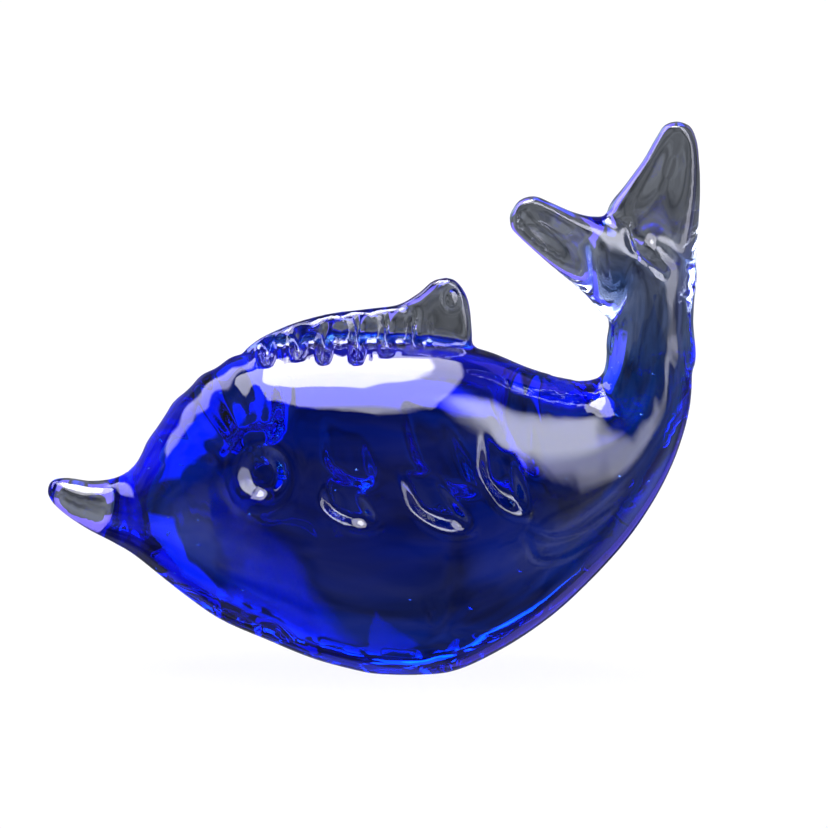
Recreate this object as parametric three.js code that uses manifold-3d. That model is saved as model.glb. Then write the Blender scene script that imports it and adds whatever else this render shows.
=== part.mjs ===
// Hand-worked glass fish: a cobalt core cased in clear glass, with a crimped dorsal fin and two
// drawn tail flukes joined on hot. Millimetres, +Z up, +X from head to tail, -Y is the left side.
import * as THREE from 'three';
import { mergeVertices } from 'three/addons/utils/BufferGeometryUtils.js';
import Module from 'manifold-3d';

// Driving dimensions.
const THICKNESS = 56; // widest part of the body, side to side
const SEAM = 0.3; // clearance left along each fused seam between two pieces
const STEM_TOP = 80; // height of the flat end of the tail stem, where the flukes join on
const EYE = { at: [-24.5, 49.9], width: 7.5, height: 7.5, depth: 2.6, lean: 0 };
const GILLS = [
  { at: [-4.3, 42.2], width: 13.5, height: 9, depth: 2.2, lean: 0.5 },
  { at: [16.3, 42.6], width: 14, height: 11, depth: 2.4, lean: 0.5 },
  { at: [30.8, 48.8], width: 13, height: 14, depth: 2.8, lean: 0.5 },
];
const CRIMP = { count: 6, first: -24, pitch: 6.9, width: 4.8, length: 15, depth: 1.8, bite: 3 };

// Facets of each piece, around its sections and along its length.
const BODY_FACETS = [30, 52];
const CORE_FACETS = [20, 36];
const FIN_FACETS = [18, 30];
const REAR_FLUKE_FACETS = [18, 24];
const FRONT_FLUKE_FACETS = [18, 22];
const PRESS_FACETS = [16, 10];
const TOOTH_FACETS = [12, 10];

// Stations from the snout to the top of the stem. Each gives the back and belly points of a section
// in the XZ plane, its thickness as a share of THICKNESS, and the share of the section that the
// coloured core fills. The belly dips below z = 0 where the foot is ground flat.
const BODY = [
  { back: [-75, 41.7], belly: [-75, 41.7], thick: 0 },
  { back: [-74, 44.2], belly: [-73.6, 39.3], thick: 0.1 },
  { back: [-71, 45], belly: [-71, 36.8], thick: 0.17 },
  { back: [-64.5, 44.3], belly: [-66, 33.3], thick: 0.23 },
  { back: [-58.5, 45.2], belly: [-60.3, 30.3], thick: 0.31, core: 0 },
  { back: [-54.7, 47.8], belly: [-55.5, 27.6], thick: 0.41, core: 0.6 },
  { back: [-51.6, 53.5], belly: [-50, 23.3], thick: 0.53, core: 0.78 },
  { back: [-46.2, 61.6], belly: [-43, 17.8], thick: 0.68, core: 0.85 },
  { back: [-38, 69.3], belly: [-34.3, 11.8], thick: 0.82, core: 0.88 },
  { back: [-27, 74.9], belly: [-23.2, 7], thick: 0.93, core: 0.88 },
  { back: [-13, 78.2], belly: [-10.5, 1.9], thick: 0.99, core: 0.88 },
  { back: [2, 79], belly: [3.5, -1], thick: 1, core: 0.87 },
  { back: [15, 77.8], belly: [17.6, -0.4], thick: 0.98, core: 0.86 },
  { back: [27, 74.4], belly: [30.5, 5.2], thick: 0.91, core: 0.84 },
  { back: [36.5, 70.6], belly: [40.6, 12.1], thick: 0.82, core: 0.81 },
  { back: [44.5, 68.2], belly: [50.7, 21.1], thick: 0.71, core: 0.76 },
  { back: [50.5, 67.7], belly: [59.2, 30.5], thick: 0.6, core: 0.68 },
  { back: [53.5, 69.2], belly: [66, 41], thick: 0.5, core: 0.57 },
  { back: [54.4, 74], belly: [70.9, 51.2], thick: 0.425, core: 0.46 },
  { back: [54.9, 80], belly: [73.6, 61.3], thick: 0.38, core: 0.38 },
  { back: [55.4, 86.5], belly: [74.2, 72.5], thick: 0.35, core: 0.34 },
  { back: [56, 93], belly: [74.3, 84], thick: 0.34, core: 0.3 },
  { back: [57, 100], belly: [74.3, 96], thick: 0.33, core: 0.3 },
  { back: [65, 106], belly: [65, 106], thick: 0, core: 0.3 },
];

// The rear fluke stands on the stem's end; the front one leaves it sideways, towards the head.
const REAR_FLUKE = [
  { back: [64.3, 66], belly: [64.3, 66], thick: 0 },
  { back: [54.7, 73], belly: [74, 70], thick: 0.35 },
  { back: [55.2, 84], belly: [74.3, 82], thick: 0.34 },
  { back: [53.6, 96], belly: [74.7, 94], thick: 0.3, side: 0.5 },
  { back: [54.6, 107.4], belly: [75.4, 104], thick: 0.265, side: 1.2 },
  { back: [58.5, 112.8], belly: [75.7, 111], thick: 0.235, side: 1.9 },
  { back: [62.6, 118.4], belly: [75.6, 117.5], thick: 0.21, side: 2.6 },
  { back: [65.5, 123.6], belly: [75, 123], thick: 0.17, side: 3.2 },
  { back: [67.5, 126.5], belly: [73.4, 126.3], thick: 0.11, side: 3.5 },
  { back: [70.3, 127.6], belly: [70.3, 127.6], thick: 0, side: 3.6 },
];
const FRONT_FLUKE = [
  { back: [66, 93], belly: [66, 93], thick: 0 },
  { back: [60, 103.5], belly: [61.5, 80.5], thick: 0.26 },
  { back: [53, 105.7], belly: [55.4, 82], thick: 0.27, side: -0.6 },
  { back: [50, 106], belly: [48.5, 88.9], thick: 0.25, side: -1.4 },
  { back: [46, 107.2], belly: [42, 94.3], thick: 0.23, side: -2.4 },
  { back: [41.5, 109.2], belly: [36.9, 98.9], thick: 0.2, side: -3.2 },
  { back: [37.3, 110.8], belly: [33.8, 101.8], thick: 0.17, side: -3.8 },
  { back: [34, 109.8], belly: [32.2, 103.6], thick: 0.12, side: -4.1 },
  { back: [31.7, 106.6], belly: [31.7, 106.6], thick: 0, side: -4.2 },
];

// The dorsal fin is a strip laid along the back and pinched up into a swept tip at its rear end.
const FIN = [
  { back: [-31, 72.5], belly: [-31, 72.5], thick: 0 },
  { back: [-28, 76], belly: [-27, 67], thick: 0.09 },
  { back: [-20, 80.3], belly: [-18.5, 68], thick: 0.14 },
  { back: [-10, 83.2], belly: [-9, 69], thick: 0.16 },
  { back: [0, 84.5], belly: [0.5, 69.5], thick: 0.165 },
  { back: [6.5, 85.5], belly: [8, 70], thick: 0.165 },
  { back: [11, 88.2], belly: [14, 70.5], thick: 0.16 },
  { back: [14.6, 91.2], belly: [18, 71.5], thick: 0.15 },
  { back: [18.8, 91.5], belly: [21, 72], thick: 0.135 },
  { back: [22, 87.6], belly: [22.4, 73], thick: 0.1 },
  { back: [23.4, 78], belly: [23.4, 78], thick: 0 },
];

const wasm = await Module();
wasm.setup();

// A closed solid from a geometry, whichever way round its faces were wound.
function solidOf(geometry) {
  const bare = new THREE.BufferGeometry();
  bare.setAttribute('position', geometry.getAttribute('position'));
  bare.setIndex(geometry.getIndex());
  const merged = mergeVertices(bare, 1e-4);
  const vertProperties = merged.getAttribute('position').array;
  const triVerts = new Uint32Array(merged.getIndex().array);
  const made = new wasm.Manifold(new wasm.Mesh({ numProp: 3, vertProperties, triVerts }));
  if (made.volume() > 0) return made;
  triVerts.reverse();
  return new wasm.Manifold(new wasm.Mesh({ numProp: 3, vertProperties, triVerts }));
}

function geometryOf(solid) {
  const mesh = solid.getMesh();
  const geometry = new THREE.BufferGeometry();
  geometry.setAttribute('position', new THREE.BufferAttribute(mesh.vertProperties, 3));
  geometry.setIndex(new THREE.BufferAttribute(mesh.triVerts, 1));
  geometry.computeVertexNormals();
  return geometry;
}

// A smooth curve through one value of every station; all curves of a loft share one parameter.
function rail(stations, pick) {
  return new THREE.CatmullRomCurve3(stations.map((s, i) => new THREE.Vector3(...pick(s, i))));
}

// A closed skin of elliptical sections, `grow` millimetres larger all round than its stations.
function loft(stations, facets, grow = 0) {
  const back = rail(stations, (s) => [s.back[0], s.side ?? 0, s.back[1]]);
  const belly = rail(stations, (s) => [s.belly[0], s.side ?? 0, s.belly[1]]);
  const half = rail(stations, (s, i) => [(s.thick * THICKNESS) / 2, i, 0]);
  const geometry = new THREE.SphereGeometry(1, ...facets);
  const uv = geometry.getAttribute('uv');
  const position = geometry.getAttribute('position');
  for (let i = 0; i < position.count; i++) {
    const t = 1 - uv.getY(i);
    const angle = 2 * Math.PI * uv.getX(i);
    const upper = back.getPoint(t);
    const lower = belly.getPoint(t);
    const point = upper.clone().add(lower).multiplyScalar(0.5);
    point.addScaledVector(upper.sub(lower), Math.cos(angle) / 2);
    point.y += half.getPoint(t).x * Math.sin(angle);
    position.setXYZ(i, point.x, point.y, point.z);
  }
  if (grow === 0) return solidOf(geometry);
  return solidOf(grown(geometryOf(solidOf(geometry)), grow));
}

// The same skin with every vertex moved outwards along its normal.
function grown(geometry, distance) {
  const position = geometry.getAttribute('position');
  const normal = geometry.getAttribute('normal');
  for (let i = 0; i < position.count; i++) {
    position.setXYZ(
      i,
      position.getX(i) + distance * normal.getX(i),
      position.getY(i) + distance * normal.getY(i),
      position.getZ(i) + distance * normal.getZ(i),
    );
  }
  return geometry;
}

// The body before any mark is pressed into it, ground flat underneath and cut off at the stem.
function bodySkin() {
  const skin = loft(BODY, BODY_FACETS).subtract(slab(0, false)).subtract(slab(STEM_TOP, true));
  return new THREE.Mesh(geometryOf(skin), new THREE.MeshBasicMaterial());
}

// The core's stations: the body's sections shrunk about their centres.
function coreStations() {
  return BODY.filter((s) => s.core !== undefined).map((s) => {
    const shrink = (from, to) => from.map((v, i) => (v + to[i]) / 2 + ((v - to[i]) / 2) * s.core);
    return {
      back: shrink(s.back, s.belly),
      belly: shrink(s.belly, s.back),
      thick: s.thick * s.core,
    };
  });
}

// Everything above (or below) a height, as a slab wide enough to trim any piece.
function slab(z, above) {
  const SIDE = 400;
  const box = new THREE.BoxGeometry(SIDE, SIDE, SIDE);
  return solidOf(box.translate(0, 0, above ? z + SIDE / 2 : z - SIDE / 2));
}

// Where a straight line first meets the skin.
function touch(skin, from, direction) {
  return new THREE.Raycaster(from, direction).intersectObject(skin)[0];
}

// An egg-shaped tool pressed into a skin at (x, z) on one side, leaning its lower lip inwards.
function press(skin, mark, side) {
  const [x, z] = mark.at;
  const hit = touch(skin, new THREE.Vector3(x, side * THICKNESS, z), new THREE.Vector3(0, -side, 0));
  const tool = new THREE.SphereGeometry(1, ...PRESS_FACETS);
  tool.scale(mark.width / 2, mark.height / 2, mark.depth);
  tool.rotateX(mark.lean);
  const outwards = new THREE.Vector3(0, 0, 1);
  const facing = new THREE.Quaternion().setFromUnitVectors(outwards, hit.face.normal);
  const upright = new THREE.Quaternion().setFromAxisAngle(hit.face.normal, side > 0 ? Math.PI : 0);
  tool.applyQuaternion(upright.multiply(facing));
  return solidOf(tool.translate(hit.point.x, hit.point.y, hit.point.z));
}

// One tooth mark of the crimping pincers: a groove from the fin's flank down over the shoulder.
function crimp(skin, index, side) {
  const x = CRIMP.first + index * CRIMP.pitch;
  const reach = (FIN[4].thick * THICKNESS + CRIMP.length) / 2 - CRIMP.bite;
  const above = new THREE.Vector3(x, side * reach, 2 * STEM_TOP);
  const hit = touch(skin, above, new THREE.Vector3(0, 0, -1));
  const tooth = new THREE.SphereGeometry(1, ...TOOTH_FACETS);
  tooth.scale(CRIMP.width / 2, CRIMP.length / 2, CRIMP.depth);
  tooth.rotateX(Math.atan2(-hit.face.normal.y, hit.face.normal.z));
  return solidOf(tooth.translate(hit.point.x, hit.point.y, hit.point.z));
}

function crimps(skin) {
  const pair = (_, i) => [crimp(skin, i, -1), crimp(skin, i, 1)];
  return Array.from({ length: CRIMP.count }, pair).flat();
}

function cobaltCore() {
  return loft(coreStations(), CORE_FACETS).subtract(slab(STEM_TOP, true));
}

function crystalCasing(skin) {
  let casing = solidOf(skin.geometry).subtract(loft(coreStations(), CORE_FACETS, SEAM));
  for (const side of [-1, 1]) {
    for (const mark of [EYE, ...GILLS]) casing = casing.subtract(press(skin, mark, side));
  }
  for (const tooth of crimps(skin)) casing = casing.subtract(tooth);
  return casing;
}

function dorsalFin(skin) {
  let fin = loft(FIN, FIN_FACETS).subtract(loft(BODY, BODY_FACETS, SEAM));
  for (const tooth of crimps(skin)) fin = fin.subtract(tooth);
  return fin;
}

function rearFluke() {
  return loft(REAR_FLUKE, REAR_FLUKE_FACETS).subtract(slab(STEM_TOP + SEAM, false));
}

function frontFluke() {
  const fluke = loft(FRONT_FLUKE, FRONT_FLUKE_FACETS).subtract(slab(STEM_TOP + SEAM, false));
  return fluke.subtract(loft(REAR_FLUKE, REAR_FLUKE_FACETS, SEAM));
}

const COBALT = { color: 0x0a1fb4, roughness: 0.05, metalness: 0 };
const CRYSTAL = { color: 0xc9d4e2, roughness: 0.04, metalness: 0, transparent: true, opacity: 0.4 };

const figurine = new THREE.Group();
figurine.name = 'glass_fish';

function addPiece(name, solid, finish) {
  const piece = new THREE.Mesh(geometryOf(solid), new THREE.MeshStandardMaterial(finish));
  piece.name = name;
  figurine.add(piece);
}

const skin = bodySkin();
addPiece('cobalt_core', cobaltCore(), COBALT);
addPiece('crystal_casing', crystalCasing(skin), CRYSTAL);
addPiece('dorsal_fin', dorsalFin(skin), CRYSTAL);
addPiece('tail_fluke_front', frontFluke(), CRYSTAL);
addPiece('tail_fluke_rear', rearFluke(), CRYSTAL);

// The part's origin is under the middle of its box, on the surface it stands on.
const box = new THREE.Box3().setFromObject(figurine);
const middle = box.getCenter(new THREE.Vector3());
figurine.position.set(-middle.x, -middle.y, -box.min.z);

export default figurine;
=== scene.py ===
"""Looks of a solid hand-worked glass fish: cobalt core, clear fused skin, seed bubbles, soft studio."""
import math

import bpy
import numpy as np
from bpy.props import FloatProperty, FloatVectorProperty, IntProperty, PointerProperty
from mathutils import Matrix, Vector, noise


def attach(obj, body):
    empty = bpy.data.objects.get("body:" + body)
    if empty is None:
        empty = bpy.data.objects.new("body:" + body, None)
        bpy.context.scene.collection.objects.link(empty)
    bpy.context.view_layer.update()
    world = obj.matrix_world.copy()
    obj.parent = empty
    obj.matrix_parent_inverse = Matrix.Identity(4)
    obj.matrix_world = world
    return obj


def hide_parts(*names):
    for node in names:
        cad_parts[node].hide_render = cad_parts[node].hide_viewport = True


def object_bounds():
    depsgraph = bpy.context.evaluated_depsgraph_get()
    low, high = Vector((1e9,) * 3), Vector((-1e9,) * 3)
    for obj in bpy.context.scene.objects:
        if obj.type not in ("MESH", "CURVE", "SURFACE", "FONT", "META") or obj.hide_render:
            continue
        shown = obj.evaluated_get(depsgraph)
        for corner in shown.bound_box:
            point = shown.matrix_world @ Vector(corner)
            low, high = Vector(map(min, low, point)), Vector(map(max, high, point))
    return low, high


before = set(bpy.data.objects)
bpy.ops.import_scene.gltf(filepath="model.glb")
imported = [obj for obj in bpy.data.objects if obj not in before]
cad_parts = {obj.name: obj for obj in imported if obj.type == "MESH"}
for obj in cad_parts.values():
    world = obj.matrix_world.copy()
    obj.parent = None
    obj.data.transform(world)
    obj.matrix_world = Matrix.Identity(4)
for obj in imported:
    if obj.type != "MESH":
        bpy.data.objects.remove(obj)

bl_info = {
    "name": "Glass Fish Figurine",
    "version": (1, 0, 0),
    "blender": (4, 5, 0),
    "location": "View3D > Sidebar > Glass Fish",
    "description": "Builds a cased-glass fish around its packed solids",
    "category": "Object",
}

MM = 0.001
CAD_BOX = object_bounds()
FUSED_NODES = ("crystal_casing", "dorsal_fin", "tail_fluke_front", "tail_fluke_rear")

# Stations of a loft, in millimetres: back point (x, z), belly point (x, z), half thickness, sideways
# offset, and how far the flats are paddled in.
BODY = [
    ((-75, 41.7), (-75, 41.7), 0, 0, 0),
    ((-74, 44.2), (-73.6, 39.3), 2.8, 0, 0),
    ((-71, 45), (-71, 36.8), 4.8, 0, 0),
    ((-64.5, 44.3), (-66, 33.3), 6.4, 0, 0),
    ((-58.5, 45.2), (-60.3, 30.3), 8.7, 0, 0),
    ((-54.7, 47.8), (-55.5, 27.6), 11.5, 0, 0),
    ((-51.6, 53.5), (-50, 23.3), 14.8, 0, 0),
    ((-46.2, 61.6), (-43, 17.8), 19, 0, 0),
    ((-38, 69.3), (-34.3, 11.8), 23, 0, 0),
    ((-27, 74.9), (-23.2, 7), 26, 0, 0),
    ((-13, 77.2), (-10.5, 1.9), 27.7, 0, 0),
    ((2, 77.6), (3.5, -1), 28, 0, 0),
    ((15, 76.9), (17.6, -0.4), 27.4, 0, 0),
    ((27, 74.4), (30.5, 5.2), 25.5, 0, 0),
    ((36.5, 70.6), (40.6, 12.1), 23, 0, 0),
    ((44.5, 68.2), (50.7, 21.1), 19.9, 0, 0),
    ((50.5, 67.7), (59.2, 30.5), 16.8, 0, 0),
    ((53.5, 69.2), (66, 41), 14, 0, 0),
    ((54.4, 74), (70.9, 51.2), 11.9, 0, 0),
    ((54.9, 80), (73.6, 61.3), 10.6, 0, 0),
    ((55.4, 86.5), (74.2, 72.5), 9.8, 0, 0),
    ((56, 93), (74.3, 84), 9.5, 0, 0),
    ((57, 100), (74.3, 96), 7, 0, 0),
    ((65, 106), (65, 106), 0, 0, 0),
]
# The core starts at this station of the body, and fills these shares of it from there on.
CORE_FROM = 4
CORE_SHARE = [
    0, 0.6, 0.78, 0.85, 0.88, 0.88, 0.88, 0.87, 0.86,
    0.84, 0.81, 0.76, 0.68, 0.56, 0.42, 0.3, 0.18, 0,
]
REAR_FLUKE = [
    ((64.3, 66), (64.3, 66), 0, 0, 0),
    ((54.7, 73), (74, 70), 9.8, 0, 0),
    ((55.2, 84), (74.3, 82), 9.5, 0, 0),
    ((53.6, 96), (74.7, 94), 8.4, 0.5, 0.15),
    ((54.6, 107.4), (75.4, 104), 7.4, 1.2, 0.42),
    ((58.5, 112.8), (75.7, 111), 6.6, 1.9, 0.55),
    ((62.6, 118.4), (75.6, 117.5), 5.9, 2.6, 0.55),
    ((65.5, 123.6), (75, 123), 4.8, 3.2, 0.35),
    ((67.5, 126.5), (73.4, 126.3), 3.1, 3.5, 0),
    ((70.3, 127.6), (70.3, 127.6), 0, 3.6, 0),
]
FRONT_FLUKE = [
    ((66, 93), (66, 93), 0, 0, 0),
    ((60, 103.5), (61.5, 80.5), 7.3, 0, 0),
    ((53, 105.7), (55.4, 82), 7.6, -0.6, 0),
    ((50, 106), (48.5, 88.9), 7, -1.4, 0.25),
    ((46, 107.2), (42, 94.3), 6.4, -2.4, 0.55),
    ((41.5, 109.2), (36.9, 98.9), 5.6, -3.2, 0.65),
    ((37.3, 110.8), (33.8, 101.8), 4.8, -3.8, 0.45),
    ((34, 109.8), (32.2, 103.6), 3.4, -4.1, 0),
    ((31.7, 106.6), (31.7, 106.6), 0, -4.2, 0),
]
FIN = [
    ((-31, 72.5), (-31, 72.5), 0, 0, 0),
    ((-28, 76), (-27, 67), 2.6, 0, 0),
    ((-20, 80.3), (-18.5, 68), 4, 0, 0.1),
    ((-10, 83.2), (-9, 69), 4.5, 0, 0.15),
    ((0, 84.5), (0.5, 69.5), 4.6, 0, 0.2),
    ((6.5, 85.5), (8, 70), 4.6, 0, 0.2),
    ((11, 88.2), (14, 70.5), 4.5, 0, 0.2),
    ((14.6, 91.2), (18, 71.5), 4.2, 0, 0.2),
    ((18.8, 91.5), (21, 72), 3.8, 0, 0.15),
    ((22, 87.6), (22.4, 73), 2.8, 0, 0),
    ((23.4, 78), (23.4, 78), 0, 0, 0),
]
# Facets of each loft, around and along, and the share of them that crowds towards its ends.
SKIN_LOFTS = [(BODY, 120, 260), (REAR_FLUKE, 72, 90), (FRONT_FLUKE, 72, 80), (FIN, 60, 110)]
CORE_FACETS = (110, 190)
BUBBLE_FACETS = (12, 10)
END_CROWDING = 0.25
# Passes and steps of the smoothing, as shares of the way to the neighbours' middle.
RELAX_FIRST, RELAX_LAST = 6, 3
RELAX_IN, RELAX_OUT = 0.5, 0.52
FLOW_STEP = 0.8


# ---------------------------------------------------------------------------------------- settings


class GlassFishShape(bpy.types.PropertyGroup):
    """Sizes of the worked details."""

    voxel: FloatProperty(
        name="Skin fineness", description="Edge length of the fused skin's facets",
        default=0.62 * MM, unit="LENGTH",
    )
    fillet_passes: IntProperty(
        name="Seam softness", description="How far the fused seams flow together", default=26,
    )
    sway: FloatProperty(
        name="Hand sway", description="Height of the slow waves that hand working leaves",
        default=0.22 * MM, unit="LENGTH",
    )
    eye_depth: FloatProperty(
        name="Eye depth", description="How deep the eye punch went in", default=2.8 * MM, unit="LENGTH",
    )
    gill_depth: FloatProperty(
        name="Gill depth", description="How deep the gill tool went in", default=2.3 * MM, unit="LENGTH",
    )
    crimp_depth: FloatProperty(
        name="Crimp depth", description="Depth of the pincer grooves along the fin",
        default=1.5 * MM, unit="LENGTH",
    )
    seeds: IntProperty(name="Seed bubbles", description="Tiny bubbles under the skin", default=60)


class GlassFishFinish(bpy.types.PropertyGroup):
    """Colours of the glass."""

    clear_tint: FloatVectorProperty(
        name="Clear tint", description="Colour of the clear glass", subtype="COLOR",
        default=(0.93, 0.96, 1.0),
    )
    stain: FloatVectorProperty(
        name="Blue stain", description="Colour that the core lends to the skin over it", subtype="COLOR",
        default=(0.06, 0.26, 0.95),
    )
    cobalt: FloatVectorProperty(
        name="Cobalt", description="Colour that the core lets through", subtype="COLOR",
        default=(0.0, 0.69, 0.965),
    )
    cobalt_depth: FloatProperty(
        name="Cobalt strength", description="Absorption of the core per metre", default=115,
    )


class GlassFishStudio(bpy.types.PropertyGroup):
    """Light and camera."""

    surround: FloatVectorProperty(
        name="Surround", description="What the glass sees around it", subtype="COLOR",
        default=(0.095, 0.1, 0.112),
    )
    paper: FloatProperty(
        name="Paper", description="Brightness of the white light on the floor", default=1.04,
    )
    azimuth: FloatProperty(
        name="Camera azimuth", description="Turn about Z from looking along +Y",
        default=0, subtype="ANGLE",
    )
    elevation: FloatProperty(
        name="Camera elevation", description="Height angle of the camera",
        default=math.radians(8), subtype="ANGLE",
    )
    field: FloatProperty(
        name="Field width", description="Width the camera takes in at the figurine",
        default=191.3 * MM, unit="LENGTH",
    )


# ------------------------------------------------------------------------------------ mesh shaping


def rail(points, t):
    """A centripetal Catmull-Rom curve through points, read at t from 0 to 1."""
    least = 1e-4
    points = np.asarray(points, float)
    ends = np.vstack([2 * points[0] - points[1], points, 2 * points[-1] - points[-2]])
    place = t * (len(points) - 1)
    i = np.minimum(place.astype(int), len(points) - 2)
    a, b, c, d = (ends[i + k] for k in range(4))
    gaps = ((a, b), (b, c), (c, d))
    s0, s1, s2 = (np.linalg.norm(q - p, axis=1, keepdims=True) ** 0.5 for p, q in gaps)
    s1 = np.where(s1 < least, 1.0, s1)
    s0 = np.where(s0 < least, s1, s0)
    s2 = np.where(s2 < least, s1, s2)
    start = ((b - a) / s0 - (c - a) / (s0 + s1) + (c - b) / s1) * s1
    finish = ((c - b) / s1 - (d - b) / (s1 + s2) + (d - c) / s2) * s1
    u = (place - i)[:, None]
    return (
        b * (2 * u**3 - 3 * u**2 + 1) + start * (u**3 - 2 * u**2 + u)
        + c * (3 * u**2 - 2 * u**3) + finish * (u**3 - u**2)
    )


def loft(stations, around, along):
    """Vertices (mm) and faces of a closed skin of oval sections through the stations."""
    back = np.array([(s[0][0], s[3], s[0][1]) for s in stations], float)
    belly = np.array([(s[1][0], s[3], s[1][1]) for s in stations], float)
    half = np.array([(s[2], i) for i, s in enumerate(stations)], float)
    paddle = np.array([(s[4], i) for i, s in enumerate(stations)], float)
    crowded = (1 - np.cos(np.linspace(0, math.pi, along + 1))) / 2
    t = crowded * END_CROWDING + np.linspace(0, 1, along + 1) * (1 - END_CROWDING)
    upper, lower = rail(back, t), rail(belly, t)
    half, paddle = rail(half, t)[:, :1], rail(paddle, t)[:, :1]
    angle = np.linspace(0, 2 * math.pi, around, endpoint=False)
    cos, sin = np.cos(angle), np.sin(angle)
    middle, reach = (upper + lower) / 2, (upper - lower) / 2
    rings = middle[1:-1, None] + reach[1:-1, None] * cos[None, :, None]
    rings[:, :, 1] += half[1:-1] * sin * (1 - np.clip(paddle[1:-1], 0, 1) * sin**4)
    vertices = np.vstack([upper[:1], rings.reshape(-1, 3), upper[-1:]])
    near = np.arange(around)
    far = (near + 1) % around
    last = len(vertices) - 1
    faces = [(0, 1 + n, 1 + f) for n, f in zip(near, far)]
    for ring in range(along - 2):
        base = 1 + ring * around
        faces += [(base + f, base + n, base + around + n, base + around + f) for n, f in zip(near, far)]
    base = 1 + (along - 2) * around
    faces += [(base + f, base + n, last) for n, f in zip(near, far)]
    return vertices, faces


def mesh_object(name, vertices, faces):
    """A new object from vertices in millimetres."""
    mesh = bpy.data.meshes.new(name)
    mesh.from_pydata([tuple(v) for v in np.asarray(vertices) * MM], [], faces)
    mesh.validate()
    piece = bpy.data.objects.new(name, mesh)
    bpy.context.scene.collection.objects.link(piece)
    return piece


def fuse(name, lofts, voxel):
    """One closed skin round overlapping lofts."""
    vertices, faces = [], []
    for verts, quads in lofts:
        base = len(vertices)
        vertices += list(verts)
        faces += [tuple(base + i for i in face) for face in quads]
    piece = mesh_object(name, vertices, faces)
    remesh = piece.modifiers.new("fuse", "REMESH")
    remesh.mode = "VOXEL"
    remesh.voxel_size = voxel
    depsgraph = bpy.context.evaluated_depsgraph_get()
    fused = bpy.data.meshes.new_from_object(piece.evaluated_get(depsgraph))
    piece.modifiers.clear()
    piece.data = fused
    return piece


class Skin:
    """A mesh's vertices in millimetres as an array, with the moves that shape them."""

    def __init__(self, piece):
        self.mesh = piece.data
        count = len(self.mesh.vertices)
        self.at = np.zeros(count * 3)
        self.mesh.vertices.foreach_get("co", self.at)
        self.at = self.at.reshape(-1, 3) / MM
        edges = np.zeros(len(self.mesh.edges) * 2, int)
        self.mesh.edges.foreach_get("vertices", edges)
        self.near, self.far = edges.reshape(-1, 2).T
        self.degree = np.bincount(np.r_[self.near, self.far], minlength=count)[:, None]

    def store(self):
        """Writes the vertices back to the mesh."""
        self.mesh.vertices.foreach_set("co", (self.at * MM).ravel())
        self.mesh.update()

    def normals(self):
        """The direction out of the glass at each vertex."""
        self.store()
        out = np.zeros(len(self.at) * 3)
        self.mesh.vertex_normals.foreach_get("vector", out)
        return out.reshape(-1, 3)

    def pull(self):
        """From each vertex to the middle of its neighbours."""
        total = np.zeros_like(self.at)
        for axis in range(3):
            column = self.at[:, axis]
            total[:, axis] = np.bincount(self.near, column[self.far], len(self.at))
            total[:, axis] += np.bincount(self.far, column[self.near], len(self.at))
        return total / self.degree - self.at

    def relax(self, passes):
        """Smooths without shrinking: each step in is followed by a slightly longer step out."""
        for _ in range(passes):
            self.at += RELAX_IN * self.pull()
            self.at -= RELAX_OUT * self.pull()

    def flow(self, passes):
        """Fills inward corners, as surface tension does in hot glass."""
        for _ in range(passes):
            normals = self.normals()
            rise = np.einsum("ij,ij->i", self.pull(), normals)
            self.at += FLOW_STEP * np.maximum(rise, 0)[:, None] * normals

    def press(self, depth):
        """Moves each vertex inwards by its depth."""
        self.at -= depth[:, None] * self.normals()


def bell(x, width):
    """1 at x = 0, falling to 0 over about two widths on both sides."""
    return np.exp(-((x / width) ** 2))


def ramp(x, low, high):
    """0 below low, 1 above high, smooth between."""
    u = np.clip((x - low) / (high - low), 0, 1)
    return u * u * (3 - 2 * u)


# Worked marks, in millimetres in the stations' frame. A pair whose name ends in _RUN or _FADE gives
# where a change begins and where it is complete.
EYE_AT = (-24.5, 49.9)
EYE_TALLER = 1.1
EYE_RUN = (2.2, 6.6)
EYE_RIM_AT, EYE_RIM_WIDTH, EYE_RIM_SHARE = 8.2, 1.6, 0.1
FLANK_RUN = (9, 14)
# Each gill mark: its lip's middle (x, z), half width and rise, its tilt and the scoop's lean towards
# the head in degrees, the scoop's length up the flank and its share of the full depth.
GILLS = [
    ((-4.2, 38.9), 7.8, 3.0, -15.6, 14, 8, 0.95),
    ((17.6, 38.0), 8.0, 3.0, -13, 30, 10.5, 1.1),
    ((31.0, 42.8), 8.0, 3.6, -36, 8, 9.5, 1.25),
]
GILL_WALL = 1.3
GILL_BELOW, GILL_ABOVE = 0.35, 0.65
GILL_TAPER = 0.4
GILL_FADE = 0.8
GILL_REACH, GILL_EDGE = 1.1, 0.62
LIP_BELOW, LIP_WIDTH, LIP_EDGE, LIP_SHARE = 1.5, 0.8, 0.5, 0.13
# The pincers' grooves along the fin, and the heights on the fin's flank between which they lie.
CRIMP_FIRST, CRIMP_PITCH, CRIMP_COUNT = -23.9, 6.87, 6
CRIMP_TALLEST = 3
CRIMP_TOP, CRIMP_FOOT = 80.2, 73.2
CRIMP_WIDTH, CRIMP_BANK_AT, CRIMP_BANK_WIDTH, CRIMP_BANK_SHARE = 1.1, 2.4, 1.0, 0.25
RIPPLE_SHARE = 0.22
RIPPLE_FRONT_RUN, RIPPLE_REAR_RUN = (-27, -22), (10, 15)
SADDLE_ABOVE, SADDLE_BEFORE, SADDLE_RUN = 66, 26, (1, 2.5)
# The ring pressed into the fin's tip.
RING_AT = (18.6, 87.0)
RING_SHORTER = 0.72
RING_RADIUS, RING_WIDTH, RING_DEPTH = 1.5, 0.6, 0.5
RING_LOW, RING_HIGH, RING_OFF_EDGE = 82, 93, 1.0
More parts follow.
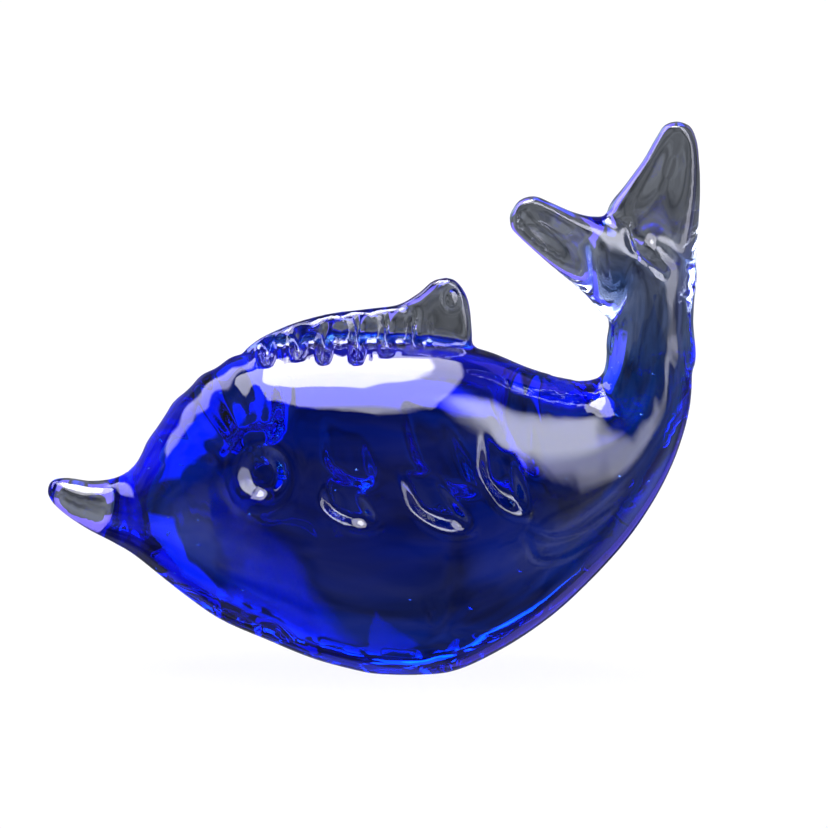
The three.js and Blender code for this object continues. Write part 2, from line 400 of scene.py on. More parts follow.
# The swirl at the fork of the tail.
FORK_LOW, FORK_HIGH, FORK_BEHIND = 84, 112, 50
FORK_RUN = (1.5, 4)
FORK_KNOB = (65.2, 98.5)
KNOB_TALLER, KNOB_WIDTH, KNOB_HEIGHT = 0.75, 3.4, 0.7
FORK_CREASE = [(59.2, 103.4), (60.3, 99.2), (62, 97.4), (66.8, 93.6)]
CREASE_WIDTH, CREASE_DEPTH = 1.0, 0.75
# Fine creases and scratches of the left flank.
ARCS = [
    [(36, 37), (41, 34.6), (48, 35.6), (56, 40.5)],
    [(35, 35), (38, 29.6), (44, 29.2), (52, 33)],
    [(20, 12.5), (26, 11.6), (32, 13.2), (36, 16)],
    [(12.6, 20.4), (14.2, 16.8), (14.6, 15.4)],
    [(14.4, 20.8), (15.4, 18.6), (15.2, 16.6)],
]
ARC_WIDTH, ARC_DEPTH = 0.75, 0.22
ARC_LEFT_OF, ARC_BEHIND, ARC_BELOW = -4, 8, 62
# Streaks up the stem, and the rays and folds that spread from the eye. RAY_FROM and RAY_TO are
# angles round the eye, in radians up from the tail.
STREAK_DEPTH = 0.07
STREAK_BEHIND, STREAK_RUN, STREAK_FADE = 40, (58, 74), (82, 93)
RAY_COUNT, RAY_WANDER = 16, 0.8
RAY_RUN, RAY_FADE = (8, 13), (24, 32)
RAY_FROM, RAY_TO = (1.3, 1.8), (3.0, 3.14)
RAY_DEPTH_LEFT, RAY_DEPTH_RIGHT = 0.09, 0.24
FOLD_COUNT, FOLD_WANDER, FOLD_DEPTH = 17, 0.6, 0.55
FOLD_RUN, FOLD_FADE, FOLD_FRONT = (6, 14), (30, 42), (-6, 6)
# Slow waves: how far apart they lie and where in the noise they start.
WAVE_SKIN = (17, 3.0)
WAVE_FINE, WAVE_FINE_SHARE = (7, 8.0), 0.15
WAVE_CORE, WAVE_CORE_HEIGHT, WAVE_CORE_RUN = (15, 21.0), 1.1, (5, 30)
# How much shallower the marks are in the core, and below which height the foot is ground.
CORE_MARK_SHARE = 0.8
FOOT_BELOW = 0.05


def eye_depth(at, depth):
    """A round punch with a soft shoulder and a faint raised rim."""
    r = np.hypot(at[:, 0] - EYE_AT[0], (at[:, 2] - EYE_AT[1]) / EYE_TALLER)
    rim = EYE_RIM_SHARE * depth * bell(r - EYE_RIM_AT, EYE_RIM_WIDTH)
    return depth * (1 - ramp(r, *EYE_RUN)) - rim


def gill_depth(at, mark, depth):
    """A scoop that starts sharply at a U-shaped lower lip, and narrows and fades up the flank."""
    (x, z), half, rise, tilt, lean, length, share = mark
    tilt, lean = math.radians(tilt), math.radians(lean)
    u = (at[:, 0] - x) * math.cos(tilt) + (at[:, 2] - z) * math.sin(tilt)
    v = (at[:, 2] - z) * math.cos(tilt) - (at[:, 0] - x) * math.sin(tilt)
    climb = np.clip(v, 0, length)
    drift = u + math.tan(lean - tilt) * climb
    above = v - rise * (drift / half) ** 2
    width = ramp(GILL_REACH - np.abs(drift) / (half * (1 - GILL_TAPER * climb / length)), 0, GILL_EDGE)
    wall = GILL_WALL * share * depth
    fade = (1 - ramp(above, 0, length)) ** GILL_FADE
    scoop = ramp(above, -GILL_BELOW * wall, GILL_ABOVE * wall) * fade
    lip = bell(above + LIP_BELOW, LIP_WIDTH) * ramp(GILL_REACH - np.abs(drift) / half, 0, LIP_EDGE)
    return share * depth * (scoop * width - LIP_SHARE * lip)


def crimp_depth(at, depth):
    """Grooves from the fin's flank down over the shoulder, and the ripple they leave above them.

    The sines and slopes set each groove a little apart from the next, as hand work does.
    """
    x, z = at[:, 0], at[:, 2]
    phase = (x - CRIMP_FIRST) / CRIMP_PITCH
    index = np.clip(np.round(phase), 0, CRIMP_COUNT - 1)
    u = (phase - index) * CRIMP_PITCH - 0.5 * np.sin(index * 2.3)
    top = CRIMP_TOP + 0.15 * np.minimum(x, 6) + 1.4 * (index == CRIMP_TALLEST)
    foot = CRIMP_FOOT + 0.07 * (x + 24) + 0.9 * np.sin(index * 1.7)
    along = ramp(z, foot - 1.1, foot + 1.2) * (1 - ramp(z, top - 1.5, top + 1.5))
    groove = bell(u, CRIMP_WIDTH) - CRIMP_BANK_SHARE * bell(np.abs(u) - CRIMP_BANK_AT, CRIMP_BANK_WIDTH)
    ripple = np.cos(2 * math.pi * phase) * ramp(z, top - 1, top + 1) * (1 - ramp(z, top + 2, top + 4.5))
    ripple *= ramp(x, *RIPPLE_FRONT_RUN) * (1 - ramp(x, *RIPPLE_REAR_RUN))
    return depth * (groove * along + RIPPLE_SHARE * ripple)


def ring_depth(at):
    """A small ring pressed into both sides of the fin's tip."""
    x, y, z = at.T
    tip = (z > RING_LOW) * (z < RING_HIGH) * (np.abs(y) > RING_OFF_EDGE)
    r = np.hypot(x - RING_AT[0], (z - RING_AT[1]) * RING_SHORTER)
    return tip * RING_DEPTH * bell(r - RING_RADIUS, RING_WIDTH)


def fork_depth(at):
    """The swirl left where the tail was sheared: a knob beside a bent crease."""
    x, z = at[:, 0], at[:, 2]
    from_knob = np.hypot(x - FORK_KNOB[0], (z - FORK_KNOB[1]) * KNOB_TALLER)
    line = rail(FORK_CREASE, np.linspace(0, 1, 40))
    from_crease = np.min(np.hypot(x[:, None] - line[:, 0], z[:, None] - line[:, 1]), axis=1)
    return CREASE_DEPTH * bell(from_crease, CREASE_WIDTH) - KNOB_HEIGHT * bell(from_knob, KNOB_WIDTH)


def arcs(at):
    """Fine creases and scratches along the left flank, fading at both ends."""
    depth = np.zeros(len(at))
    flank = (at[:, 1] < ARC_LEFT_OF) & (at[:, 0] > ARC_BEHIND) & (at[:, 2] < ARC_BELOW)
    x, z = at[flank, 0], at[flank, 2]
    steps = 60
    for points in ARCS:
        line = rail(points, np.linspace(0, 1, steps))
        near = np.hypot(x[:, None] - line[:, 0], z[:, None] - line[:, 1])
        fade = np.sin(math.pi * (0.08 + 0.9 * near.argmin(1) / steps)) ** 0.5
        depth[flank] += ARC_DEPTH * fade * bell(near.min(1), ARC_WIDTH)
    return depth


def drawn(at):
    """Long streaks up the stem, where the glass was drawn out."""
    x, y, z = at.T
    stem = ramp(z, *STREAK_RUN) * (x > STREAK_BEHIND)
    coarse = np.sin(x * 1.3 + 0.9 * np.sin(z / 9) + y * 0.8) + 0.6 * np.sin(x * 2.3 - z / 13 - y * 1.1)
    return STREAK_DEPTH * coarse * stem * (1 - ramp(z, *STREAK_FADE))


def rays(at):
    """Shallow rays that spread from the eye to the brow and the snout, deeper on the right flank."""
    x, z = at[:, 0] - EYE_AT[0], at[:, 2] - EYE_AT[1]
    angle, reach = np.arctan2(z, x), np.hypot(x, z)
    fan = np.sin(angle * RAY_COUNT + RAY_WANDER * np.sin(3 * angle))
    fan = fan * ramp(reach, *RAY_RUN) * (1 - ramp(reach, *RAY_FADE))
    front = ramp(angle, *RAY_FROM) * (1 - ramp(angle, *RAY_TO))
    return fan * front * np.where(at[:, 1] < 0, RAY_DEPTH_LEFT, RAY_DEPTH_RIGHT)


def worked_marks(at, shape, share=1.0):
    """Depth pressed into each point on both flanks, in millimetres."""
    x, y, z = at.T
    depth = np.zeros(len(at))
    flank = ramp(np.abs(y), *FLANK_RUN)
    depth += flank * eye_depth(at, shape.eye_depth / MM)
    for mark in GILLS:
        depth += flank * gill_depth(at, mark, shape.gill_depth / MM)
    saddle = (z > SADDLE_ABOVE) * (x < SADDLE_BEFORE) * ramp(np.abs(y), *SADDLE_RUN)
    depth += saddle * crimp_depth(at, shape.crimp_depth / MM)
    fork = (z > FORK_LOW) & (z < FORK_HIGH) & (x > FORK_BEHIND)
    depth[fork] += ramp(np.abs(y[fork]), *FORK_RUN) * fork_depth(at[fork])
    return share * (depth + ring_depth(at))


def waves(at, height, pattern):
    """Slow waves over the whole surface, in millimetres."""
    apart, start = pattern
    offset = Vector((start, 2.1 * start, 0.7 * start))
    return np.array([noise.noise(Vector(p) / apart + offset) for p in at]) * height


def settle(at):
    """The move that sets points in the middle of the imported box, on its floor."""
    low, high = CAD_BOX
    move = (np.array(low) + np.array(high)) / 2 / MM - (at.min(0) + at.max(0)) / 2
    move[2] = low[2] / MM
    return move


def float_layer(mesh, name, values):
    layer = mesh.attributes.new(name, "FLOAT", "POINT")
    layer.data.foreach_set("value", np.asarray(values, np.float32))


def smooth_shading(mesh):
    mesh.polygons.foreach_set("use_smooth", np.ones(len(mesh.polygons), bool))


# ------------------------------------------------------------------------------------- shader maths


class Value:
    """An output socket whose arithmetic adds Math nodes."""

    def __init__(self, shader, socket):
        self.shader = shader
        self.socket = socket

    def __add__(self, other):
        return self.shader.math("ADD", self, other)

    def __radd__(self, other):
        return self.shader.math("ADD", other, self)

    def __sub__(self, other):
        return self.shader.math("SUBTRACT", self, other)

    def __rsub__(self, other):
        return self.shader.math("SUBTRACT", other, self)

    def __mul__(self, other):
        return self.shader.math("MULTIPLY", self, other)

    def __rmul__(self, other):
        return self.shader.math("MULTIPLY", other, self)

    def __pow__(self, other):
        return self.shader.math("POWER", self, other)

    def __rpow__(self, other):
        return self.shader.math("POWER", other, self)


class Shader:
    """A material's or world's node tree, filled by one method."""

    def __init__(self, owner):
        owner.use_nodes = True
        self.tree = owner.node_tree
        self.tree.nodes.clear()

    def node(self, kind, settings=None, sockets=None, output=0):
        """Adds a node of a type, makes its settings, then sets or links its sockets.

        The output to go on from is given by name, or by number where two have the same name.
        """
        made = self.tree.nodes.new("ShaderNode" + kind)
        for name, value in (settings or {}).items():
            setattr(made, name, value)
        for name, value in (sockets or {}).items():
            if isinstance(value, Value):
                self.tree.links.new(value.socket, made.inputs[name])
            else:
                made.inputs[name].default_value = value
        return Value(self, made.outputs[output]) if made.outputs else made

    def math(self, operation, first, second, clamped=False):
        """One step of arithmetic on two numbers."""
        return self.node("Math", {"operation": operation, "use_clamp": clamped}, {0: first, 1: second})

    def at_least(self, value, low):
        return self.math("MAXIMUM", value, low)

    def clamp(self, value):
        """A number held between 0 and 1."""
        return self.math("ADD", value, 0.0, clamped=True)

    def mix(self, factor, first, second):
        """Mixes two colours."""
        first, second = (c if isinstance(c, Value) else (*c, 1) for c in (first, second))
        sockets = {"Factor": factor, "A": first, "B": second}
        return self.node("Mix", {"data_type": "RGBA"}, sockets, output=2)

    def dot(self, first, second):
        """How far two directions agree, from -1 to 1."""
        sockets = {0: first, 1: second}
        return self.node("VectorMath", {"operation": "DOT_PRODUCT"}, sockets, output="Value")

    def add(self, first, second):
        """Adds two colours."""
        return self.node("VectorMath", {"operation": "ADD"}, {0: first, 1: second})

    def scale(self, colour, share):
        """A colour times a number."""
        return self.node("VectorMath", {"operation": "SCALE"}, {0: colour, "Scale": share})


# Roughness of fire-polished glass, and what smears and the ground foot add to it.
POLISHED, SMEARED, GROUND = 0.004, 0.02, 0.12
# How much of the bump the ground foot's grit and the smears make, and how the stain clouds.
GRIT_HEIGHT, SMEAR_HEIGHT = 0.6, 0.03
STAIN_LEAST, STAIN_SPREAD = 0.8, 0.4


def crystal_material(finish):
    """Clear fire-polished glass, stained where the core lies under it, matt on the ground foot."""
    material = bpy.data.materials.new("crystal_skin")
    s = Shader(material)
    place = s.node("TexCoord", output="Object")
    stain = s.node("Attribute", {"attribute_name": "stain"}, output="Fac")
    foot = s.node("Attribute", {"attribute_name": "foot"}, output="Fac")
    cloud = s.node("TexNoise", None, {"Vector": place, "Scale": 60.0, "Detail": 3.0})
    smear = s.node("TexNoise", None, {"Vector": place, "Scale": 210.0, "Detail": 4.0})
    blue = stain * (STAIN_LEAST + STAIN_SPREAD * cloud)
    colour = s.mix(blue, tuple(finish.clear_tint), tuple(finish.stain))
    rough = POLISHED + SMEARED * smear * smear + GROUND * foot
    grit = s.node("TexNoise", None, {"Vector": place, "Scale": 2400.0, "Detail": 2.0})
    height = grit * foot * GRIT_HEIGHT + smear * SMEAR_HEIGHT
    bump = s.node("Bump", None, {"Strength": 0.12, "Distance": 0.0002, "Height": height})
    glass = s.node(
        "BsdfPrincipled", None,
        {
            "Base Color": colour, "Roughness": rough, "Normal": bump,
            "IOR": 1.52, "Transmission Weight": 1.0,
        },
    )
    body = s.node("VolumeAbsorption", None, {"Color": (0.75, 0.85, 1.0, 1), "Density": 3.0})
    s.node("OutputMaterial", None, {"Surface": glass, "Volume": body})
    return material


def cobalt_material(finish):
    """Cobalt glass inside clear glass: its surface bends no light, and it takes out all but blue."""
    material = bpy.data.materials.new("cobalt_glass")
    s = Shader(material)
    place = s.node("TexCoord", output="Object")
    streaks = s.node("Mapping", None, {"Vector": place, "Rotation": (0, 0.5, 0), "Scale": (26, 60, 90)})
    veil = s.node("TexNoise", None, {"Vector": streaks, "Scale": 1.0, "Detail": 4.0, "Distortion": 1.2})
    colour = s.mix(veil, (0.5, 0.6, 1.0), (0.95, 0.97, 1.0))
    rough = 0.002 + 0.01 * veil
    glass = s.node(
        "BsdfPrincipled", None,
        {"Base Color": colour, "Roughness": rough, "IOR": 1.0, "Transmission Weight": 1.0},
    )
    body = s.node(
        "VolumeAbsorption", None,
        {"Color": (*finish.cobalt, 1), "Density": finish.cobalt_depth},
    )
    s.node("OutputMaterial", None, {"Surface": glass, "Volume": body})
    return material


def paper_material():
    """The pale floor."""
    material = bpy.data.materials.new("paper")
    s = Shader(material)
    place = s.node("TexCoord", output="Object")
    fleck = s.node("TexNoise", None, {"Vector": place, "Scale": 40.0, "Detail": 5.0})
    colour = s.mix(fleck, (0.97, 0.97, 0.97), (0.955, 0.955, 0.96))
    surface = s.node("BsdfPrincipled", None, {"Base Color": colour, "Roughness": 0.9})
    s.node("OutputMaterial", None, {"Surface": surface})
    return material


def bubble_material():
    """Seed bubbles: the mirror-like inner face of trapped air."""
    material = bpy.data.materials.new("seed_air")
    s = Shader(material)
    place = s.node("TexCoord", output="Object")
    speck = s.node("TexNoise", None, {"Vector": place, "Scale": 900.0, "Detail": 2.0})
    colour = s.mix(speck, (0.75, 0.8, 0.9), (1.0, 1.0, 1.0))
    air = s.node(
        "BsdfPrincipled", None,
        {"Base Color": colour, "Metallic": 0.85, "Roughness": 0.06 + 0.1 * speck},
    )
    s.node("OutputMaterial", None, {"Surface": air})
    return material


# ---------------------------------------------------------------------------------------- operators


class GLASSFISH_OT_skin(bpy.types.Operator):
    """Fuses body, fin and flukes into one clear skin and presses the marks into it"""

    bl_idname = "glass_fish.skin"
    bl_label = "Clear skin"

    def execute(self, context):
        shape = context.scene.glass_fish_shape
        lofts = [loft(stations, around, along) for stations, around, along in SKIN_LOFTS]
        piece = fuse("glass_skin", lofts, shape.voxel)
        skin = Skin(piece)
        skin.relax(RELAX_FIRST)
        skin.flow(shape.fillet_passes)
        skin.press(worked_marks(skin.at, shape) + rays(skin.at) + arcs(skin.at) + drawn(skin.at))
        slow = waves(skin.at, shape.sway / MM, WAVE_SKIN)
        fine = waves(skin.at, WAVE_FINE_SHARE * shape.sway / MM, WAVE_FINE)
        skin.press(slow + fine)
        skin.relax(RELAX_LAST)
        skin.at[:, 2] = np.maximum(skin.at[:, 2], 0)
        stain, foot = stain_of(skin.at), (skin.at[:, 2] < FOOT_BELOW).astype(float)
        skin.at += settle(skin.at)
        skin.store()
        float_layer(piece.data, "stain", stain)
        float_layer(piece.data, "foot", foot)
        smooth_shading(piece.data)
        piece.data.materials.append(crystal_material(context.scene.glass_fish_finish))
        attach(piece, "root")
        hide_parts(*FUSED_NODES)
        piece.visible_diffuse = False
        return {"FINISHED"}


# Where the blue ends or fades, in millimetres in the stations' frame.
SNOUT_STAIN = (-57.5, -55)
STEM_STAIN, STEM_LEAN, STEM_MIDDLE, STEM_PALER = (64, 78), 0.25, 60, 0.35
STEM_FRONT_RUN = (45, 54)
FLUKE_STAIN, FLUKES_BEHIND = (84, 96), 30
FIN_STAIN, FIN_HALF, FIN_ENDS = (76.0, 77.2), 5.4, (-29, 26)
# Blue that ran up into the front fluke's root and the stem's rear edge: place, reach and share.
CROOK_DRIP, CROOK_REACH, CROOK_SHARE = (57, 90.5), 6.5, 0.9
CROOK_LONGER, CROOK_LOWER = 0.8, 1.1
REAR_DRIP, REAR_REACH, REAR_SHARE = (75, 94), 5, 0.8


def stain_of(at):
    """How blue the skin looks: 1 over the core, fading to 0 on the snout, fin, flukes and upper stem."""
    x, y, z = at.T
    snout = ramp(x, *SNOUT_STAIN)
    up_stem = z + STEM_LEAN * (STEM_MIDDLE - x)
    stem = 1 - STEM_PALER * ramp(up_stem, *STEM_STAIN) * ramp(x, *STEM_FRONT_RUN)
    flukes = 1 - ramp(z, *FLUKE_STAIN) * (x > FLUKES_BEHIND)
    on_fin = (np.abs(y) < FIN_HALF) & (x > FIN_ENDS[0]) & (x < FIN_ENDS[1])
    fin = 1 - ramp(z, *FIN_STAIN) * on_fin
    from_crook = np.hypot((x - CROOK_DRIP[0]) * CROOK_LONGER, (z - CROOK_DRIP[1]) * CROOK_LOWER)
    from_rear = np.hypot(x - REAR_DRIP[0], z - REAR_DRIP[1])
    drip = CROOK_SHARE * bell(from_crook, CROOK_REACH) + REAR_SHARE * bell(from_rear, REAR_REACH)
    return np.maximum(snout * stem * flukes * fin, drip)


class GLASSFISH_OT_core(bpy.types.Operator):
    """Lays the cobalt core inside the skin"""

    bl_idname = "glass_fish.core"
    bl_label = "Cobalt core"

    def execute(self, context):
        shape = context.scene.glass_fish_shape
        stations = []
        for (back, belly, half, side, paddle), share in zip(BODY[CORE_FROM:], CORE_SHARE):
            middle = [(a + b) / 2 for a, b in zip(back, belly)]
            upper = tuple(m + (a - m) * share for m, a in zip(middle, back))
            lower = tuple(m + (b - m) * share for m, b in zip(middle, belly))
            stations.append((upper, lower, half * share, side, paddle))
        vertices, faces = loft(stations, *CORE_FACETS)
        piece = mesh_object("cobalt_gather", vertices, faces)
        skin = Skin(piece)
        skin.press(worked_marks(skin.at, shape, CORE_MARK_SHARE))
        skin.press(folds(skin.at))
        skin.relax(RELAX_FIRST)
        skin.at += core_shift()
        skin.store()
        smooth_shading(piece.data)
        piece.data.materials.append(cobalt_material(context.scene.glass_fish_finish))
        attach(piece, "root")
        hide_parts("cobalt_core")
        piece.visible_diffuse = False
        return {"FINISHED"}


def core_shift():
    """The move that sets the outline's box, from snout to rear fluke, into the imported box."""
    low, high = CAD_BOX
    ends = (BODY[0][0][0] + max(belly[0] for _, belly, *_ in REAR_FLUKE)) / 2
    return np.array([(low[0] + high[0]) / 2 / MM - ends, (low[1] + high[1]) / 2 / MM, low[2] / MM])


def folds(at):
    """Folds that run back from the eye in the coloured glass."""
    x, z = at[:, 0] - EYE_AT[0], at[:, 2] - EYE_AT[1]
    angle = np.arctan2(z, x)
    reach = np.hypot(x, z)
    fan = np.sin(angle * FOLD_COUNT + FOLD_WANDER * np.sin(3 * angle))
    fan = fan * ramp(reach, *FOLD_RUN) * (1 - ramp(reach, *FOLD_FADE))
    front = FOLD_DEPTH * fan * ramp(-x, *FOLD_FRONT)
    return front + waves(at, WAVE_CORE_HEIGHT, WAVE_CORE) * ramp(at[:, 0], *WAVE_CORE_RUN)


# Bubbles lie along these stations. Each is drawn from low to high: its place along them, its size in
# millimetres and its depth as a share of the way out from the middle.
BUBBLE_STATIONS = BODY[5:-4]
BUBBLE_PLACE, BUBBLE_SIZE, BUBBLE_DEPTH = (0.05, 1), (0.1, 0.26), (0.8, 0.95)
BUBBLE_DRAW = 11
# A bubble's outline: along the fish and across it, as shares of its size.
BUBBLE_OUTLINE = ((-1.6, 0), (-1.1, 0.75), (-0.2, 1), (0.9, 0.6), (2.4, 0))


class GLASSFISH_OT_seeds(bpy.types.Operator):
    """Scatters seed bubbles between the core and the skin"""

    bl_idname = "glass_fish.seeds"
    bl_label = "Seed bubbles"

    def execute(self, context):
        shape = context.scene.glass_fish_shape
        draw = np.random.default_rng(BUBBLE_DRAW)
        vertices, faces = [], []
        t = draw.uniform(*BUBBLE_PLACE, shape.seeds)
        back = rail([(s[0][0], 0, s[0][1]) for s in BUBBLE_STATIONS], t)
        belly = rail([(s[1][0], 0, s[1][1]) for s in BUBBLE_STATIONS], t)
        half = rail([(s[2], i) for i, s in enumerate(BUBBLE_STATIONS)], t)[:, 0]
        turn = draw.uniform(0, 2 * math.pi, shape.seeds)
        size = draw.uniform(*BUBBLE_SIZE, shape.seeds)
        depth = draw.uniform(*BUBBLE_DEPTH, shape.seeds)
        for i in range(shape.seeds):
            centre = (back[i] + belly[i]) / 2 + (back[i] - belly[i]) / 2 * math.cos(turn[i]) * depth[i]
            centre[1] += half[i] * math.sin(turn[i]) * depth[i]
            drop, quads = loft(teardrop(centre, size[i]), *BUBBLE_FACETS)
            base = len(vertices)
            vertices += list(drop)
            faces += [tuple(base + k for k in quad) for quad in quads]
        piece = mesh_object("seed_bubbles", np.array(vertices) + core_shift(), faces)
        smooth_shading(piece.data)
        piece.data.materials.append(bubble_material())
        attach(piece, "root")
        return {"FINISHED"}


def teardrop(centre, size):
    """Stations of one bubble, drawn out along the fish."""
    x, y, z = centre
    stations = []
    for along, across in BUBBLE_OUTLINE:
        middle, half = x + along * size, across * size
        stations.append(((middle, z + half), (middle, z - half), half, y, 0))
    return stations


# How often light may pass on through glass, and be mirrored.
GLASS_BOUNCES, MIRROR_BOUNCES = 24, 12


class GLASSFISH_OT_studio(bpy.types.Operator):
    """Lays the pale floor, makes the room that lights the glass and sets up the camera"""

    bl_idname = "glass_fish.studio"
    bl_label = "Studio"

    def execute(self, context):
        studio = context.scene.glass_fish_studio
        lay_floor()
        light_world(studio)
        aim_camera(studio)
        context.scene.view_settings.view_transform = "Standard"
        cycles = context.scene.cycles
        cycles.max_bounces = cycles.transmission_bounces = GLASS_BOUNCES
        cycles.glossy_bounces = MIRROR_BOUNCES
        return {"FINISHED"}


# Windows in the studio's sky. Overhead ones give their corners in order as (x, y) on a plane one
# unit up, upright ones as (azimuth, elevation) in degrees, azimuth from -Y towards +X. Then how
# crisp their edges are, and their radiance by colour.
OVERHEAD_WINDOWS = [
    ([(-0.74, 0.14), (-0.27, -0.45), (0, -1), (0.2, -0.42), (0.27, 0.08), (0.24, 0.46), (-0.56, 0.46)],
     40, (6.6, 6.5, 7.4)),
    ([(-0.4, 0.05), (-0.22, -0.17), (0, -0.32), (0.1, -0.14), (0.14, 0.12), (0.12, 0.38), (-0.34, 0.38)],
     40, (13, 13, 13)),
]
UPRIGHT_WINDOWS = [
    ([(33, -1), (61, -8), (65, 30), (62, 62), (22, 66), (21, 36), (31, 22)], 8, (4.6, 4.6, 5.4)),
    ([(30, 28), (56, 26), (58, 62), (24, 64)], 6, (5.0, 5.1, 5.8)),
    ([(-98, 18), (-113, 23), (-150, 36), (-154, 54), (-120, 50), (-98, 40)], 12, (4.0, 3.8, 6.2)),
    ([(122, 56), (156, 56), (152, 24), (149, -1), (130, -1), (127, 24)], 30, (0.25, 0.16, 1.2)),
    ([(131, -15), (150, -15), (168, -38), (168, -52), (131, -46)], 30, (0.2, 0.14, 1.2)),
    ([(176, -35), (196, -35), (196, -58), (176, -58)], 20, (0.05, 0.08, 1.15)),
]
# Soft coloured glows: azimuth, elevation and half width in degrees, and radiance by colour.
GLOWS = [
    (79, 0, 13, (0.3, 0.3, 1.3)),
    (72, 24, 10, (0.1, 0.12, 0.8)),
    (112, -28, 12, (0.5, 0.7, 0.9)),
    (-90, -5, 14, (0.05, 0.1, 0.3)),
    (-96, -2, 5, (0.3, 0.7, 0.9)),
    (-62, -28, 14, (0.1, 0.2, 0.7)),
    (0, -52, 18, (0.1, 0.15, 0.4)),
]
# Where the room in front of the figurine is lighter: azimuth, elevation, half width, gain.
NEAR_LIGHT = [(-50, -24, 17, 3.0), (56, -24, 16, 4.0)]
# The room's clutter: its noise, how far that is stretched before it is held between 0 and 1, and
# how dark and how light it makes the surround.
CLUTTER = {"Scale": 3.2, "Detail": 3.0, "Distortion": 0.6}
CLUTTER_GAIN, CLUTTER_DROP = 3.4, 1.2
CLUTTER_DARK, CLUTTER_LIGHT = 0.35, 1.9
# The floor's half side and the camera's distance, sensor, reach and aim beside the middle, in metres
# except for the sensor, which is in millimetres.
FLOOR_HALF = 6.0
CAMERA_DISTANCE = 1.1
CAMERA_SENSOR = 36
CAMERA_NEAR, CAMERA_FAR = 0.05, 50
CAMERA_AIM = (0.0095, 0, -0.0038)


def lay_floor():
    """A pale sheet under the figurine, which the glass itself does not see."""
    low, _ = CAD_BOX
    side = FLOOR_HALF
    corners = [(-side, -side), (side, -side), (side, side), (-side, side)]
    floor = mesh_object("floor", [(x / MM, y / MM, low[2] / MM) for x, y in corners], [(0, 1, 2, 3)])
    floor.data.materials.append(paper_material())
    floor.visible_transmission = False
    floor.visible_glossy = False


def light_world(studio):
    """White light on the floor, and a dim room with windows and glows for the glass to show."""
    world = bpy.data.worlds.new("studio")
    world.cycles.sampling_method = "NONE"
    bpy.context.scene.world = world
    s = Shader(world)
    look = s.node("TexCoord", output="Generated")
    clutter = s.node("TexNoise", None, {"Vector": look, **CLUTTER})
    clutter = s.clamp(clutter * CLUTTER_GAIN - CLUTTER_DROP)
    dark, light = ([share * c for c in studio.surround] for share in (CLUTTER_DARK, CLUTTER_LIGHT))
    room = s.mix(clutter, dark, light)
    near = 1.0
    for azimuth, elevation, width, gain in NEAR_LIGHT:
        near = gain * glow(s, look, azimuth, elevation, width) + near
    room = s.scale(room, near)
    for azimuth, elevation, width, colour in GLOWS:
        room = s.add(room, s.scale(colour, glow(s, look, azimuth, elevation, width)))
    for corners, crispness, colour in OVERHEAD_WINDOWS:
        pane = window(s, look, [Vector((x, y, 1)).normalized() for x, y in corners], crispness)
        room = s.add(room, s.scale(colour, pane))
    for corners, crispness, colour in UPRIGHT_WINDOWS:
        directions = [towards(math.radians(a), math.radians(e)) for a, e in corners]
        pane = window(s, look, directions, crispness)
        room = s.add(room, s.scale(colour, pane))
    is_diffuse = s.node("LightPath", output="Is Diffuse Ray")
    colour = s.mix(is_diffuse, room, (studio.paper,) * 3)
    sky = s.node("Background", None, {"Color": colour, "Strength": 1.0})
    s.node("OutputWorld", None, {"Surface": sky})


def glow(s, look, azimuth, elevation, width):
    """1 towards a direction, falling to half at width degrees from it."""
    facing = s.dot(look, towards(math.radians(azimuth), math.radians(elevation)))
    power = math.log(0.5) / math.log(math.cos(math.radians(width)))
    return s.at_least(facing, 0.0) ** power


def window(s, look, corners, crispness):
    """1 inside the patch of sky between corner directions, 0 outside."""
    middle = sum(corners, Vector())
    pane = 1.0
    for start, end in zip(corners, corners[1:] + corners[:1]):
        side = start.cross(end).normalized()
        if side.dot(middle) < 0:
            side.negate()
        pane = s.clamp(s.dot(look, side) * crispness + 0.5) * pane
    return pane


def towards(azimuth, elevation):
    """The direction from the figurine at an azimuth, 0 towards -Y and 90 degrees towards +X."""
    flat = math.cos(elevation)
    return Vector((math.sin(azimuth) * flat, -math.cos(azimuth) * flat, math.sin(elevation)))


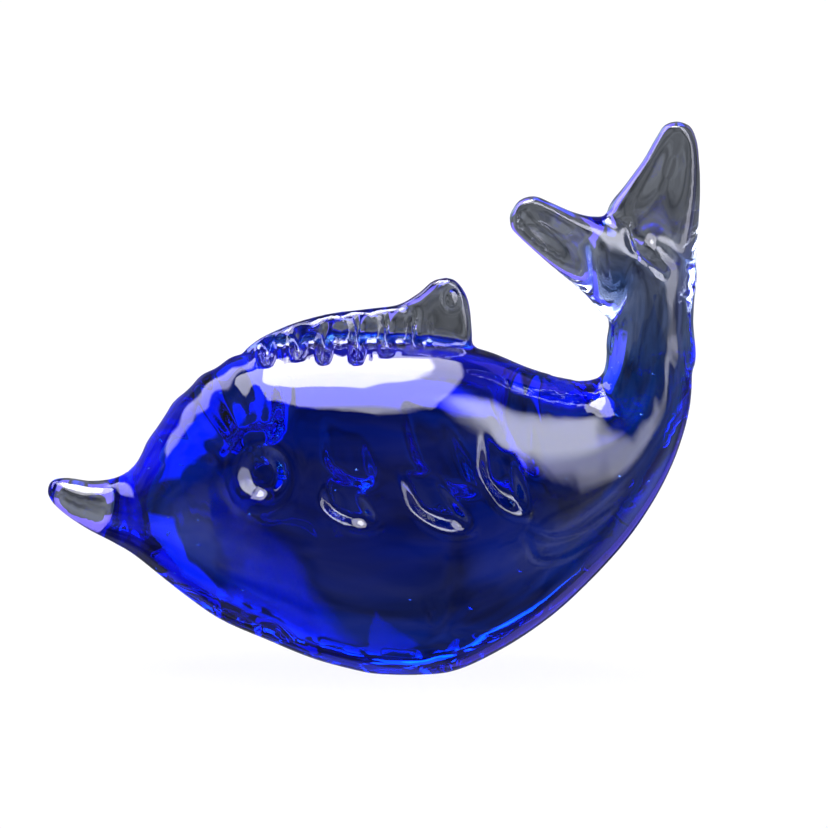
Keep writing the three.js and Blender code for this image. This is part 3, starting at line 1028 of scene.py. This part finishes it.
def aim_camera(studio):
    """A long lens, aimed a little beside the figurine's middle."""
    low, high = CAD_BOX
    camera = bpy.data.cameras.new("camera")
    camera.sensor_width = CAMERA_SENSOR
    camera.lens = camera.sensor_width * CAMERA_DISTANCE / studio.field
    camera.clip_start, camera.clip_end = CAMERA_NEAR, CAMERA_FAR
    seat = bpy.data.objects.new("camera", camera)
    bpy.context.scene.collection.objects.link(seat)
    away = towards(studio.azimuth, studio.elevation)
    aim = (low + high) / 2 + Vector(CAMERA_AIM)
    seat.location = aim + away * CAMERA_DISTANCE
    seat.rotation_euler = away.to_track_quat("Z", "Y").to_euler()
    bpy.context.scene.camera = seat


class GLASSFISH_PT_sidebar(bpy.types.Panel):
    """Lists the sizes, colours and steps of the glass fish"""

    bl_idname = "GLASSFISH_PT_sidebar"
    bl_label = "Glass Fish"
    bl_space_type = "VIEW_3D"
    bl_region_type = "UI"
    bl_category = "Glass Fish"

    def draw(self, context):
        layout = self.layout
        for name in SETTINGS:
            group = getattr(context.scene, name)
            for key in group.__annotations__:
                layout.prop(group, key)
        for step in STEPS:
            layout.operator(step.bl_idname)


SETTINGS = {
    "glass_fish_shape": GlassFishShape,
    "glass_fish_finish": GlassFishFinish,
    "glass_fish_studio": GlassFishStudio,
}
STEPS = (GLASSFISH_OT_skin, GLASSFISH_OT_core, GLASSFISH_OT_seeds, GLASSFISH_OT_studio)


def register():
    for cls in (*SETTINGS.values(), *STEPS, GLASSFISH_PT_sidebar):
        bpy.utils.register_class(cls)
    for name, group in SETTINGS.items():
        setattr(bpy.types.Scene, name, PointerProperty(type=group))


def unregister():
    for name in SETTINGS:
        delattr(bpy.types.Scene, name)
    for cls in reversed((*SETTINGS.values(), *STEPS, GLASSFISH_PT_sidebar)):
        bpy.utils.unregister_class(cls)


def main():
    register()
    bpy.ops.glass_fish.studio()
    bpy.ops.glass_fish.core()
    bpy.ops.glass_fish.skin()
    bpy.ops.glass_fish.seeds()


if __name__ == "__main__":
    main()
